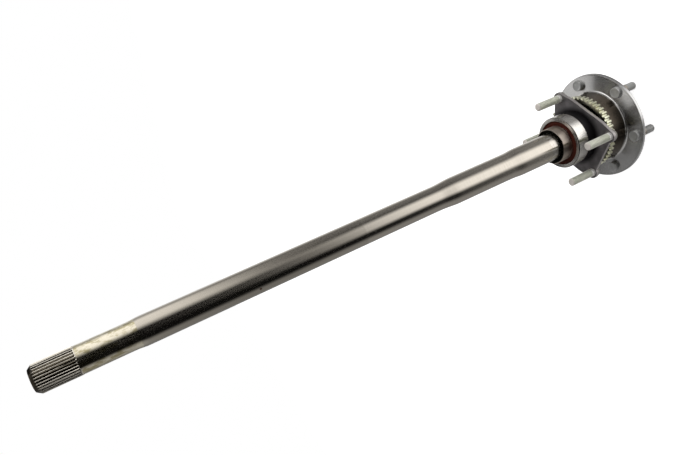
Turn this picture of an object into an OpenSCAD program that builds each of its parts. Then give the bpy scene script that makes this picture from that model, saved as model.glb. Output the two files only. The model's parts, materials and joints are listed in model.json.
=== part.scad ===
/* [Shaft] */
// Wheel face of the flange to the spline's end
shaft_length = 871; // [800:1:960]
// Diameter of the long plain section
main_d = 35.5; // [34.5:0.1:38]
// Diameter of the section next to the collar
hub_section_d = 41.7; // [40.5:0.1:41.9]
// Diameter of the section between the hub section and the plain one
mid_section_d = 39.1; // [38.2:0.1:40.2]
// Diameter of the neck behind the spline
neck_d = 33.3; // [31.5:0.1:34.2]
// Wheel face to the end of the hub section
hub_section_end = 182; // [150:1:210]
// Length of the taper from the hub section to the middle section
hub_taper = 14.4; // [6:0.2:24]
// Wheel face to the end of the middle section
mid_section_end = 302.5; // [260:0.5:360]
// Length of the taper from the middle section to the plain one
mid_taper = 24.3; // [8:0.1:40]
// Length of the neck
neck_length = 61; // [40:1:90]
// Length of the taper from the plain section to the neck
neck_taper = 10.5; // [4:0.5:20]
/* [Spline] */
// Diameter over the spline teeth
spline_d = 33.9; // [33:0.1:35]
// Height of a spline tooth
spline_tooth_h = 1.65; // [1.2:0.05:2.2]
// Length of the spline
spline_length = 49; // [35:1:60]
// Number of spline teeth
spline_teeth = 30; // [24:1:36]
// Length of the cone at the spline's end
spline_lead = 5.5; // [2:0.5:8]
// Depth of that cone, measured on the radius
spline_lead_depth = 4; // [1:0.5:6]
/* [Flange] */
// Diameter of the wheel flange
flange_d = 164.6; // [160:0.2:180]
// Thickness of the wheel flange
flange_t = 9.5; // [8:0.5:14]
// Chamfer round the wheel face
flange_chamfer = 4; // [0.5:0.5:5]
// Diameter of the pilot that centres the wheel
pilot_d = 106; // [90:0.5:112]
// Height of the pilot
pilot_h = 7; // [4:0.5:12]
/* [Wheel studs] */
// Diameter of the circle through the wheel studs
wheel_pcd = 139.7; // [136:0.1:142]
// Number of wheel studs
wheel_stud_count = 6; // [4:1:8]
// Angle of the first wheel stud
wheel_stud_angle = 24; // [0:1:60]
// Thread diameter of a wheel stud
wheel_stud_d = 12; // [10:0.5:14]
// Length of a wheel stud beyond the wheel face
wheel_stud_reach = 27.3; // [20:0.1:45]
// Diameter of a wheel stud's serrated shank
wheel_stud_shank_d = 14; // [13:0.1:15]
// Diameter of a wheel stud's head
wheel_stud_head_d = 16.5; // [15.6:0.1:20]
// Height of a wheel stud's head
wheel_stud_head_h = 5; // [3:0.5:8]
/* [Hub boss] */
// Diameter of the boss behind the flange
boss_d = 109; // [104:0.5:112]
// Height of the boss above the flange
boss_h = 28; // [20:0.5:36]
// Fillet at the foot of the boss
boss_fillet = 3; // [1:0.5:4]
// Diameter of the stem between the boss and the bearing
stem_d = 60; // [56:0.5:64]
/* [Tone ring] */
// Diameter over the tone ring's teeth
tone_d = 114.6; // [113:0.2:117]
// Width of the tone ring
tone_w = 10; // [6:0.5:14]
// Number of teeth on the tone ring
tone_teeth = 48; // [36:1:60]
// Height of a tone ring tooth
tone_tooth_h = 2.6; // [1.5:0.1:3.5]
// Thickness of the tone ring from its bore to the tooth tips
tone_wall = 8.3; // [6.5:0.1:12]
/* [Retainer plate] */
// Gap between the tone ring and the retainer plate
plate_gap = 5; // [4.5:0.1:9]
// Thickness of the retainer plate
plate_t = 5.5; // [4:0.5:10]
// Distance between the retainer studs along the plate
stud_span_x = 102; // [98:0.5:110]
// Distance between the retainer studs across the plate
stud_span_y = 72; // [70:0.5:80]
// Radius of the ear round each retainer stud
ear_r = 9.5; // [9:0.1:12]
// Axis to the long edges of the plate
plate_half_w = 48.5; // [46:0.5:52]
// Length of the straight part of a long edge
plate_flat = 60; // [40:1:80]
// Axis to the straight short edge of the plate
plate_reach = 56; // [50:0.5:58]
// Axis to the waisted short edge of the plate
waist_reach = 47.5; // [45:0.5:50]
// Length of the straight part of the waist
waist_flat = 16; // [6:1:24]
// Step from the bearing's outside down to the spigot's, on the radius
spigot_step = 0.8; // [0.2:0.1:2]
// Thickness of the spigot's wall
spigot_wall = 4.2; // [3.2:0.1:6]
// Length of the spigot in front of the plate
spigot_length = 15; // [8:0.5:24]
/* [Retainer studs] */
// Thread diameter of a retainer stud
retainer_stud_d = 12; // [10:0.5:13]
// Diameter of a retainer stud's shank in the plate
retainer_shank_d = 12.6; // [12:0.1:14]
// Length of a retainer stud in front of the plate
retainer_stud_reach = 45; // [30:0.5:60]
// Diameter of a retainer stud's head
retainer_head_d = 17; // [15:0.5:19]
// Height of a retainer stud's head
retainer_head_h = 3.5; // [2:0.1:4]
/* [Bearing] */
// Outer diameter of the bearing
bearing_od = 80; // [79.8:0.1:84]
// Bore of the bearing and of the collar
bearing_bore = 42; // [42:0.1:43]
// Width of the bearing
bearing_w = 21; // [20:0.5:26]
// Diameter of a ball
ball_d = 11; // [10:0.1:11.2]
// Number of balls
ball_count = 11; // [7:1:12]
// Depth of the ball tracks in the rings
track_depth = 2.2; // [1.8:0.1:2.6]
// Thickness of the outer ring round its seal seats
seal_seat_wall = 5.4; // [3:0.1:5.6]
// Room between the cage and the seals
seal_room = 0.35; // [0.15:0.05:0.6]
// Thickness of a seal with its insert
seal_t = 2.3; // [1.8:0.1:2.6]
/* [Collar] */
// Thickness of the retaining collar's wall
collar_wall = 6.2; // [4:0.1:8]
// Width of the retaining collar
collar_w = 17; // [12:0.5:24]
// Width of the flat lip round the cone in the collar's mouth
collar_lip = 0.4; // [0.2:0.1:2]
/* [Hidden] */
$fn = 96;
edge = 0.6;
edge_large = 1.2;
stud_fit = 0.03;
press_fit = 0.01;
run_fit = 0.1;
cage_gap = 0.4;
cage_t = 0.7;
cage_pocket_gap = 0.15;
rivet_d = 1.8;
rivet_head_d = 2.6;
rivet_head_h = 0.5;
seal_insert_t = 0.7;
seal_lip_w = 1.4;
seal_rim_w = 0.9;
countersink_r = 1.9;
countersink_depth = 2;
stud_tip = 1.6;
center_drill_r = 4;
fillet_steps = 6;
shoulder_cone = 2.8;
spline_root_d = spline_d - 2 * spline_tooth_h;
tone_bore_d = tone_d - 2 * tone_wall;
spigot_d = bearing_od - 2 * spigot_step;
spigot_bore_d = spigot_d - 2 * spigot_wall;
seal_seat_d = bearing_od - 2 * seal_seat_wall;
collar_d = bearing_bore + 2 * collar_wall;
collar_cone = collar_wall - edge - collar_lip;
ball_r = ball_d / 2;
cage_reach = ball_r + cage_pocket_gap + cage_t;
seal_seat_depth = bearing_w / 2 - cage_reach - seal_room;
pitch_r = (bearing_od + bearing_bore) / 4;
inner_land_r = pitch_r - ball_r + track_depth;
outer_land_r = pitch_r + ball_r - track_depth;
flange_r = flange_d / 2;
boss_r = boss_d / 2;
stem_r = stem_d / 2;
seat_r = bearing_bore / 2;
boss_top = flange_t + boss_h;
tone_top = boss_top + tone_w;
plate_back = tone_top + plate_gap;
plate_front = plate_back + plate_t;
bearing_start = plate_front + spigot_length;
bearing_end = bearing_start + bearing_w;
bearing_mid = bearing_start + bearing_w / 2;
collar_end = bearing_end + collar_w;
spline_start = shaft_length - spline_length;
neck_start = spline_start - neck_length;
ear_flank_angle = 60;

// Points of an arc round a centre
function arc(center, r, from, to) =
    [for (i = [0 : fillet_steps])
        let (a = from + (to - from) * i / fillet_steps)
        center + r * [cos(a), sin(a)]];

// Corners of a toothed ring, with the width of tooth tip and foot as shares of the pitch
function toothed(count, root_r, tip_r, tip_share, foot_share) =
    [for (i = [0 : count - 1])
        let (pitch = 360 / count)
        each [polar(root_r, (i - foot_share / 2) * pitch),
              polar(tip_r, (i - tip_share / 2) * pitch),
              polar(tip_r, (i + tip_share / 2) * pitch),
              polar(root_r, (i + foot_share / 2) * pitch)]];

function polar(r, a) = [r * cos(a), r * sin(a)];

// Half section of the flange, boss, stem and shaft, with the core that carries the spline
function shaft_section() = concat(
    [[0, -pilot_h],
     [pilot_d / 2 - edge_large, -pilot_h],
     [pilot_d / 2, edge_large - pilot_h],
     [pilot_d / 2, 0],
     [flange_r - flange_chamfer, 0],
     [flange_r, flange_chamfer],
     [flange_r, flange_t - edge],
     [flange_r - edge, flange_t]],
    arc([boss_r + boss_fillet, flange_t + boss_fillet], boss_fillet, 270, 180),
    [[boss_r, boss_top - edge],
     [boss_r - edge, boss_top],
     [tone_bore_d / 2, boss_top],
     [tone_bore_d / 2, tone_top - 2 * edge],
     [tone_bore_d / 2 - edge, tone_top - edge]],
    arc([stem_r + boss_fillet, tone_top - edge + boss_fillet], boss_fillet, 270, 180),
    [[stem_r, bearing_start - shoulder_cone],
     [inner_land_r - edge, bearing_start],
     [seat_r, bearing_start],
     [seat_r, collar_end + edge],
     [hub_section_d / 2, collar_end + edge_large],
     [hub_section_d / 2, hub_section_end],
     [mid_section_d / 2, hub_section_end + hub_taper],
     [mid_section_d / 2, mid_section_end],
     [main_d / 2, mid_section_end + mid_taper],
     [main_d / 2, neck_start - neck_taper],
     [neck_d / 2, neck_start],
     [neck_d / 2, spline_start],
     [spline_root_d / 2 - edge_large, spline_start],
     [spline_root_d / 2 - edge_large, spline_start + spline_length / 2],
     [0, spline_start + spline_length / 2]]);

module at_wheel_studs()
    for (i = [0 : wheel_stud_count - 1])
        rotate(wheel_stud_angle + i * 360 / wheel_stud_count)
            translate([wheel_pcd / 2, 0, 0])
                children();

module at_retainer_studs()
    for (x = [-1, 1], y = [-1, 1])
        translate([x * stud_span_x / 2, y * stud_span_y / 2, 0])
            children();

module at_balls(shift = 0)
    for (i = [0 : ball_count - 1])
        rotate((i + shift) * 360 / ball_count)
            translate([pitch_r, 0, bearing_mid])
                children();

// Cone that a lathe centre leaves in a shaft's end
module center_drill(z, up)
    translate([0, 0, z])
        mirror([0, 0, up ? 1 : 0])
            translate([0, 0, -edge])
                cylinder(r1 = center_drill_r + edge, r2 = 0, h = center_drill_r + edge);

module spline()
    intersection() {
        translate([0, 0, spline_start])
            linear_extrude(spline_length)
                polygon(toothed(spline_teeth, spline_root_d / 2, spline_d / 2, 0.34, 0.68));
        rotate_extrude()
            polygon([[0, spline_start],
                     [spline_d / 2 + edge, spline_start],
                     [spline_d / 2 + edge, shaft_length - spline_lead * (1 + edge / spline_lead_depth)],
                     [spline_d / 2 - spline_lead_depth, shaft_length],
                     [0, shaft_length]]);
    }

module axle_shaft()
    color([0.62, 0.59, 0.55])
        difference() {
            union() {
                rotate_extrude()
                    polygon(shaft_section());
                spline();
            }
            at_wheel_studs()
                translate([0, 0, -edge])
                    cylinder(d = wheel_stud_shank_d + 2 * stud_fit, h = flange_t + 2 * edge);
            center_drill(-pilot_h, false);
            center_drill(shaft_length, true);
        }

module wheel_studs()
    color([0.55, 0.55, 0.53])
        at_wheel_studs()
            rotate_extrude()
                polygon([[0, -wheel_stud_reach],
                         [wheel_stud_d / 2 - stud_tip, -wheel_stud_reach],
                         [wheel_stud_d / 2, stud_tip - wheel_stud_reach],
                         [wheel_stud_d / 2, 0],
                         [wheel_stud_shank_d / 2, edge_large],
                         [wheel_stud_shank_d / 2, flange_t],
                         [wheel_stud_head_d / 2, flange_t],
                         [wheel_stud_head_d / 2, flange_t + wheel_stud_head_h - edge],
                         [wheel_stud_head_d / 2 - edge, flange_t + wheel_stud_head_h],
                         [0, flange_t + wheel_stud_head_h]]);

module tone_ring()
    color([0.72, 0.71, 0.52])
        translate([0, 0, boss_top])
            difference() {
                linear_extrude(tone_w)
                    polygon(toothed(tone_teeth, tone_d / 2 - tone_tooth_h, tone_d / 2, 0.4, 0.56));
                translate([0, 0, -edge])
                    cylinder(d = tone_bore_d + 2 * press_fit, h = tone_w + 2 * edge);
            }

// Right half of the plate's outline, then the left half
function plate_corners() =
    let (ear_x = stud_span_x / 2,
         ear_y = stud_span_y / 2,
         flank = [ear_x + ear_r * cos(ear_flank_angle), ear_y - ear_r * sin(ear_flank_angle)])
    [[plate_flat / 2, -plate_half_w],
     [ear_x, -ear_y - ear_r],
     [flank.x, -flank.y],
     [waist_reach, -waist_flat / 2],
     [waist_reach, waist_flat / 2],
     flank,
     [ear_x, ear_y + ear_r],
     [plate_flat / 2, plate_half_w],
     [-plate_flat / 2, plate_half_w],
     [-ear_x, ear_y + ear_r],
     [-plate_reach, ear_y],
     [-plate_reach, -ear_y],
     [-ear_x, -ear_y - ear_r],
     [-plate_flat / 2, -plate_half_w]];

module plate_outline() {
    polygon(plate_corners());
    at_retainer_studs()
        circle(r = ear_r);
}

module retainer_plate()
    color([0.24, 0.23, 0.24])
        difference() {
            union() {
                translate([0, 0, plate_back])
                    linear_extrude(plate_t)
                        plate_outline();
                translate([0, 0, plate_back])
                    cylinder(d = spigot_d, h = plate_t + spigot_length);
            }
            translate([0, 0, plate_back - edge])
                cylinder(d = spigot_bore_d, h = plate_t + spigot_length + 2 * edge);
            at_retainer_studs() {
                translate([0, 0, plate_back - edge])
                    cylinder(d = retainer_shank_d + 2 * stud_fit, h = plate_t + 2 * edge);
                translate([0, 0, plate_front - countersink_depth])
                    cylinder(r1 = retainer_shank_d / 2 + stud_fit,
                             r2 = retainer_shank_d / 2 + stud_fit + countersink_r,
                             h = countersink_depth);
            }
        }

module retainer_studs()
    color([0.66, 0.67, 0.6])
        at_retainer_studs()
            rotate_extrude()
                polygon([[0, plate_back - retainer_head_h],
                         [retainer_head_d / 2 - edge, plate_back - retainer_head_h],
                         [retainer_head_d / 2, plate_back - retainer_head_h + edge],
                         [retainer_head_d / 2, plate_back],
                         [retainer_shank_d / 2, plate_back],
                         [retainer_shank_d / 2, plate_front - countersink_depth],
                         [retainer_stud_d / 2, plate_front],
                         [retainer_stud_d / 2, plate_front + retainer_stud_reach - stud_tip],
                         [retainer_stud_d / 2 - stud_tip, plate_front + retainer_stud_reach],
                         [0, plate_front + retainer_stud_reach]]);

// Ball track that runs round both rings
module ball_track()
    translate([pitch_r, bearing_mid])
        circle(r = ball_r + run_fit);

module bearing_outer_ring()
    color([0.78, 0.76, 0.72])
        rotate_extrude()
            difference() {
                polygon([[seal_seat_d / 2, bearing_start],
                         [bearing_od / 2 - edge_large, bearing_start],
                         [bearing_od / 2, bearing_start + edge_large],
                         [bearing_od / 2, bearing_end - edge_large],
                         [bearing_od / 2 - edge_large, bearing_end],
                         [seal_seat_d / 2, bearing_end],
                         [seal_seat_d / 2, bearing_end - seal_seat_depth],
                         [outer_land_r, bearing_end - seal_seat_depth],
                         [outer_land_r, bearing_start + seal_seat_depth],
                         [seal_seat_d / 2, bearing_start + seal_seat_depth]]);
                ball_track();
            }

module bearing_inner_ring()
    color([0.76, 0.74, 0.7])
        rotate_extrude()
            difference() {
                polygon([[seat_r + press_fit, bearing_start],
                         [inner_land_r, bearing_start],
                         [inner_land_r, bearing_end],
                         [seat_r + press_fit, bearing_end]]);
                ball_track();
            }

module bearing_balls()
    color([0.8, 0.8, 0.8])
        at_balls()
            sphere(r = ball_r);

// One pressed half of the cage: a flat ring that bulges over each ball
module cage_half()
    difference() {
        intersection() {
            rotate_extrude()
                translate([inner_land_r + cage_gap, bearing_mid])
                    square([outer_land_r - inner_land_r - 2 * cage_gap, cage_reach]);
            union() {
                translate([0, 0, bearing_mid])
                    cylinder(r = outer_land_r, h = cage_t);
                at_balls()
                    sphere(r = cage_reach);
            }
        }
        at_balls()
            sphere(r = ball_r + cage_pocket_gap);
        at_balls(shift = 0.5)
            translate([0, 0, -edge])
                cylinder(d = rivet_d + 2 * press_fit, h = cage_t + 2 * edge);
    }

module cage_half_inboard()
    color([0.6, 0.58, 0.52])
        cage_half();

module cage_half_outboard()
    color([0.6, 0.58, 0.52])
        translate([0, 0, 2 * bearing_mid])
            mirror([0, 0, 1])
                cage_half();

module cage_rivets()
    color([0.7, 0.68, 0.62])
        at_balls(shift = 0.5)
            rotate_extrude()
                polygon([[0, -cage_t - rivet_head_h],
                         [rivet_d / 2, -cage_t - rivet_head_h],
                         [rivet_head_d / 2, -cage_t],
                         [rivet_d / 2, -cage_t],
                         [rivet_d / 2, cage_t],
                         [rivet_head_d / 2, cage_t],
                         [rivet_d / 2, cage_t + rivet_head_h],
                         [0, cage_t + rivet_head_h]]);

// Rubber of a seal whose inner face lies at z = 0 and whose lips point outwards
module seal_rubber() {
    outer_r = seal_seat_d / 2 - press_fit;
    lip_r = inner_land_r + run_fit;
    rotate_extrude()
        polygon([[lip_r + seal_lip_w, 0],
                 [lip_r + seal_lip_w, seal_insert_t],
                 [outer_r - seal_rim_w, seal_insert_t],
                 [outer_r - seal_rim_w, 0],
                 [outer_r, 0],
                 [outer_r, seal_t - edge],
                 [outer_r - edge, seal_t],
                 [lip_r + 2 * seal_lip_w, seal_t],
                 [lip_r + seal_lip_w, seal_t - edge],
                 [lip_r + edge, seal_t],
                 [lip_r, seal_t],
                 [lip_r, seal_t - edge]]);
}

module seal_insert() {
    outer_r = seal_seat_d / 2 - seal_rim_w - 2 * press_fit;
    inner_r = inner_land_r + run_fit + seal_lip_w + press_fit;
    rotate_extrude()
        polygon([[inner_r, 0],
                 [outer_r, 0],
                 [outer_r, seal_insert_t],
                 [inner_r, seal_insert_t]]);
}

module at_inboard_seal()
    translate([0, 0, bearing_end - seal_seat_depth])
        children();

module at_outboard_seal()
    translate([0, 0, bearing_start + seal_seat_depth])
        mirror([0, 0, 1])
            children();

module seal_inboard()
    color([0.3, 0.1, 0.08])
        at_inboard_seal()
            seal_rubber();

module seal_insert_inboard()
    color([0.6, 0.6, 0.6])
        at_inboard_seal()
            seal_insert();

module seal_outboard()
    color([0.3, 0.1, 0.08])
        at_outboard_seal()
            seal_rubber();

module seal_insert_outboard()
    color([0.6, 0.6, 0.6])
        at_outboard_seal()
            seal_insert();

module retaining_collar()
    color([0.5, 0.44, 0.4])
        rotate_extrude()
            polygon([[seat_r + press_fit, bearing_end],
                     [collar_d / 2 - edge, bearing_end],
                     [collar_d / 2, bearing_end + edge],
                     [collar_d / 2, collar_end - edge],
                     [collar_d / 2 - edge, collar_end],
                     [seat_r + collar_cone, collar_end],
                     [seat_r + press_fit, collar_end - collar_cone + press_fit]]);

axle_shaft();
wheel_studs();
tone_ring();
retainer_plate();
retainer_studs();
bearing_outer_ring();
bearing_inner_ring();
bearing_balls();
cage_half_inboard();
cage_half_outboard();
cage_rivets();
seal_inboard();
seal_insert_inboard();
seal_outboard();
seal_insert_outboard();
retaining_collar();
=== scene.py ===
import json
import math

import bmesh
import bpy
from mathutils import Matrix, Quaternion, Vector


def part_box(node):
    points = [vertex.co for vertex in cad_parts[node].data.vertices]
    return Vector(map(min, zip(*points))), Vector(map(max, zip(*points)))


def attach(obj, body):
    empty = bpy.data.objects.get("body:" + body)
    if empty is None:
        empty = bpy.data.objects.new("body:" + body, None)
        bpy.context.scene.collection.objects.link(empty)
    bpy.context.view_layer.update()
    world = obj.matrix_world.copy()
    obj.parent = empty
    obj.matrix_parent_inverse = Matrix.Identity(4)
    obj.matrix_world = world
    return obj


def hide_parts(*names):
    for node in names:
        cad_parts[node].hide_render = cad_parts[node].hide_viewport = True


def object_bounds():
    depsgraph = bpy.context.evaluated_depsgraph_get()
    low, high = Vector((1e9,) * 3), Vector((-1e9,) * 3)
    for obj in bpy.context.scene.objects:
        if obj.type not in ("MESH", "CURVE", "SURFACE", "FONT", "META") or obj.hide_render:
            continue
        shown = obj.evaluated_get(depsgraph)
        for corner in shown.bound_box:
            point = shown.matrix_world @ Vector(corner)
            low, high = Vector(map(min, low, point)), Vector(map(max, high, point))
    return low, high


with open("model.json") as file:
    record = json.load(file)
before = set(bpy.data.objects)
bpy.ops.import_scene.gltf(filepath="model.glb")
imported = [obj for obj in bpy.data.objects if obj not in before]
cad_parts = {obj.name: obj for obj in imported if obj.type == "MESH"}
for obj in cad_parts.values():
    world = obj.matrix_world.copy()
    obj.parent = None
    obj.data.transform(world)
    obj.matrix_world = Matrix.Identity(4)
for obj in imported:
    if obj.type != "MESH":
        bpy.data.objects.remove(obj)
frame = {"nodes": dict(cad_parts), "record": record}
cad_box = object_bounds()

MM = 0.001
MOUNTS = {mount["name"]: mount for mount in frame["record"]["mounts"]}


def node_box(name):
    """Lowest and highest corner of a CAD node in millimetres"""
    low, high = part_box(name)
    return [value / MM for value in low], [value / MM for value in high]


# Sizes in millimetres: what the frame gives
shaft_low, shaft_high = node_box("axle_shaft")
wheel_low, wheel_high = node_box("wheel_studs")
tone_low, tone_high = node_box("tone_ring")
plate_low, plate_high = node_box("retainer_plate")
clamp_low, clamp_high = node_box("retainer_studs")
ring_low, ring_high = node_box("bearing_outer_ring")
seal_low, seal_high = node_box("seal_inboard")
outer_seal_high = node_box("seal_outboard")[1]
inner_ring_high = node_box("bearing_inner_ring")[1]
collar_low, collar_high = node_box("retaining_collar")

shaft_end = shaft_high[2]
spline_start = 2 * MOUNTS["spline"]["pos_m"][2] / MM - shaft_end
pilot_face = shaft_low[2]
flange_r = min(shaft_high[0], -shaft_low[0])
pilot_r = MOUNTS["hub_pilot"]["dims"]["r_mm"]
wheel_dims = MOUNTS["wheel_studs"]["dims"]
wheel_circle_r = wheel_dims["pcd_mm"] / 2
wheel_count = wheel_dims["count"]
wheel_thread_r = wheel_dims["stud_r_mm"]
clamp_dims = MOUNTS["retainer_studs"]["dims"]
clamp_x = clamp_dims["spacing_x_mm"] / 2
clamp_y = clamp_dims["spacing_y_mm"] / 2
clamp_thread_r = clamp_dims["stud_r_mm"]
clamp_head_r = clamp_high[0] - clamp_x
tone_r = tone_high[0]
ring_r = ring_high[0]
land_r = inner_ring_high[0]
collar_r = collar_high[0]
seal_r = seal_high[0]
plate_back = plate_low[2]
spigot_end = plate_high[2]
ear_r = plate_high[0] - clamp_x
plate_half_w = plate_high[1]

# Sizes in millimetres: the shaft and its flange
flange_t = 9.5
flange_chamfer = 4.0
boss_r = 54.5
boss_fillet = 3.0
stem_r = 30.0
tone_bore_r = 49.0
seat_r = 21.0
shoulder_cone = 2.8
hub_r, hub_end = 20.85, 182.0
mid_r, mid_start, mid_end = 19.55, 196.4, 302.5
main_r, main_start, main_end = 17.75, 326.8, 750.5
neck_r, neck_start = 16.65, 761.0
spline_tip_r, spline_root_r = 16.95, 15.3
spline_rise = 0.8
spline_runout = 2.5
spline_lead = 5.5
spline_lead_depth = 4.0
lead_steps = (0, 0.8, 1.6, 2.4)
lead_plain = 2.0
centre_r, centre_tip_r = 4.0, 0.4
knee = 6.0

# Sizes in millimetres: edges, from the finest
seat_edge = 0.15
fine_edge = 0.2
crisp_edge = 0.3
ground_edge = 0.35
pilot_edge = 0.4
eased_edge = 0.5
soft_edge = 0.6
pressed_edge = 0.7
round_edge = 0.8
large_edge = 1.2

# Sizes in millimetres: studs, tone ring, plate, bearing and collar
wheel_shank_r = 7.0
wheel_head_r = 8.25
wheel_pitch = 1.5
head_rim, head_dish, dish_slope = 2.0, 0.35, 1.0
shank_lead = 0.6
stud_tip = 1.6
thread_depth = 0.85
clamp_pitch = 1.25
clamp_shank_r = 6.3
clamp_plain, clamp_taper = 3.6, 0.8
thread_overlap = 1.5
tone_tooth_h = 2.6
plate_t = 5.5
plate_flat = 30.0
plate_reach = 56.0
waist_reach, waist_flat = 47.5, 8.0
spigot_r, spigot_bore_r = 39.2, 35.0
countersink_r, countersink_depth = 1.9, 2.0
ball_pitch_r = 30.5
track_r = 5.6
seal_seat_depth = 3.8
outer_land_r = 33.8
lip_gap = 0.1
lip_r = land_r + lip_gap
lip_w, lip_t, lip_root = 0.5, 0.7, 1.4
rib_inner, rib_outer, rib_foot = 2.2, 3.0, 3.4
seal_t, web_drop, groove_drop = 2.3, 0.5, 0.9
bead_w, bead_slope = 1.4, 0.3
insert_t, insert_rim = 0.7, 0.9
collar_cone = 5.2
fit_clearance = 0.03
pole_r = 0.5
overcut = 1.0
merge_gap = 0.004
trim_margin = 0.5
cut_tolerance = 0.0001

# Counts, shares and angles
spline_teeth, tooth_points = 30, 12
flank_share = 0.2
runout_middle, runout_fill = 0.55, 0.25
tone_teeth, tone_flat_points = 48, 4
thread_foot, thread_crest = 0.12, 0.44
thread_steps, spare_turns = 36, 3
track_steps = 12
wheel_stud_angle = 24.0
ear_flank = math.radians(60)

# Places of the studs
wheel_turns = [math.radians(wheel_stud_angle + i * 360 / wheel_count) for i in range(wheel_count)]
plate_corners = [(x, y) for x in (-clamp_x, clamp_x) for y in (-clamp_y, clamp_y)]

# Places in millimetres where the finishes, the painted shade and the painted highlight change
# the fillet at the foot of the boss carries a painted highlight
fillet_low, fillet_high = flange_t + 0.3, flange_t + boss_fillet + 0.1
fillet_r = boss_r + boss_fillet + 0.3
flange_face_r = 80.4
boss_skin_start = flange_t + boss_fillet + 0.2
# height where the painted shade on the boss begins
boss_shade_start = tone_low[2] - 0.4
hub_finish_end = tone_high[2] + 0.5
boss_skin_end = ring_low[2] - 2
journal_start, journal_end = collar_high[2] + 0.2, collar_high[2] + 16
polish_end, polish_wander = 455.0, 30.0
dull_start, dull_end = 450.0, 560.0
rust_spot, rust_r, rust_fade_r = (-17.4, -3.6, 609.6), 0.6, 2.4
stain_start = neck_start - 6
# below this radius the spline teeth carry painted shade
tooth_flank_r, tooth_flank_fade = 16.05, 0.55
brown_start, brown_full = -11.0, -3.0
plate_shade_r = 50.0
bare_edge_r = 45.0

# Grain of the finishes: marks in a metre, their depth in millimetres, and how the gloss lies
shaft_marks, ground_marks = 900, 1400
mark_depth, ground_depth, coat_depth = 0.03, 0.04, 0.06
facing_lean = 0.15
quarter_turn = 0.25


# Ways of modelling
def start_piece(name):
    """Names the primitive that was just added and opens it for editing"""
    piece = bpy.context.object
    piece.name = name
    piece.data.name = name
    bpy.ops.object.mode_set(mode="EDIT")
    bpy.ops.mesh.select_mode(type="VERT")
    bpy.ops.mesh.select_all(action="SELECT")
    return piece


def only(piece):
    """Selects one piece and nothing else"""
    bpy.ops.object.select_all(action="DESELECT")
    piece.select_set(True)
    bpy.context.view_layer.objects.active = piece


def close_up():
    """Joins the seams, turns every face outwards and closes the editing"""
    bpy.ops.mesh.select_all(action="SELECT")
    bpy.ops.mesh.remove_doubles(threshold=merge_gap * MM)
    bpy.ops.mesh.normals_make_consistent(inside=False)
    bpy.ops.object.mode_set(mode="OBJECT")


def rounded(stations, steps=4):
    """Profile through (radius, height, reach of the rounding) stations, with its corners eased"""
    profile = []
    for i, (radius, height, reach) in enumerate(stations):
        corner = Vector((radius, height))
        if reach == 0:
            profile.append(tuple(corner))
            continue
        before = (Vector(stations[i - 1][:2]) - corner).normalized() * reach + corner
        after = (Vector(stations[(i + 1) % len(stations)][:2]) - corner).normalized() * reach + corner
        for step in range(steps + 1):
            t = step / steps
            profile.append(tuple(before.lerp(corner, t).lerp(corner.lerp(after, t), t)))
    return profile


def quarter(radius, height, reach, start, steps=8):
    """Stations of a quarter-round fillet round a centre"""
    angles = [math.radians(start - 90 * i / steps) for i in range(steps + 1)]
    return [(radius + reach * math.cos(a), height + reach * math.sin(a), 0) for a in angles]


def move_ring(piece, before, after):
    """Moves the selected ring of points from one repeating pattern of radii to the next"""
    mesh = bmesh.from_edit_mesh(piece.data)
    ring = [point.index for point in mesh.verts if point.select]
    step = 2 * math.pi / len(ring)
    for grow in sorted({new / old for new, old in zip(after, before)}):
        members = {i for i in range(len(after)) if after[i] / before[i] == grow}
        mesh = bmesh.from_edit_mesh(piece.data)
        mesh.verts.ensure_lookup_table()
        for index in ring:
            point = mesh.verts[index]
            turn = math.atan2(point.co.y, point.co.x) % (2 * math.pi)
            point.select = round(turn / step) % len(after) in members
        mesh.select_flush_mode()
        bmesh.update_edit_mesh(piece.data)
        bpy.ops.transform.resize(value=(grow, grow, 1), center_override=(0, 0, 0))
    mesh = bmesh.from_edit_mesh(piece.data)
    mesh.verts.ensure_lookup_table()
    for index in ring:
        mesh.verts[index].select = True
    mesh.select_flush_mode()
    bmesh.update_edit_mesh(piece.data)


def turned(name, profile, segments=128, hollow=False):
    """Piece drawn up ring by ring round the Z axis; a station's radius may be a pattern of radii"""
    bpy.ops.object.select_all(action="DESELECT")
    radius, height = profile[0]
    bpy.ops.mesh.primitive_circle_add(vertices=segments, radius=radius * MM)
    piece = start_piece(name)
    bpy.ops.transform.translate(value=(0, 0, height * MM))
    if not hollow:
        bpy.ops.mesh.edge_face_add()
        bpy.ops.mesh.select_all(action="SELECT")
    stations = profile[1:] + profile[:1] if hollow else profile[1:]
    for next_radius, next_height in stations:
        lift = (0, 0, (next_height - height) * MM)
        if hollow:
            bpy.ops.mesh.extrude_edges_move(TRANSFORM_OT_translate={"value": lift})
        else:
            bpy.ops.mesh.extrude_region_move(TRANSFORM_OT_translate={"value": lift})
        if isinstance(next_radius, tuple) or isinstance(radius, tuple):
            size = max(len(r) for r in (radius, next_radius) if isinstance(r, tuple))
            before = radius if isinstance(radius, tuple) else (radius,) * size
            after = next_radius if isinstance(next_radius, tuple) else (next_radius,) * size
            move_ring(piece, before, after)
        else:
            grow = next_radius / radius
            bpy.ops.transform.resize(value=(grow, grow, 1), center_override=(0, 0, 0))
        radius, height = next_radius, next_height
    close_up()
    return piece


def drawn(name, points, loop=False):
    """Line of edges drawn from point to point, closed and filled where it is a loop"""
    bpy.ops.object.select_all(action="DESELECT")
    bpy.ops.mesh.primitive_plane_add(size=MM)
    piece = start_piece(name)
    bpy.ops.mesh.merge(type="CENTER")
    place = Vector((0, 0, 0))
    for i, point in enumerate(points):
        move = (Vector(point) - place) * MM
        if i == 0:
            bpy.ops.transform.translate(value=move)
        else:
            bpy.ops.mesh.extrude_region_move(TRANSFORM_OT_translate={"value": move})
        place = Vector(point)
    if loop:
        bpy.ops.mesh.select_all(action="SELECT")
        bpy.ops.mesh.edge_face_add()
    return piece


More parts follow.
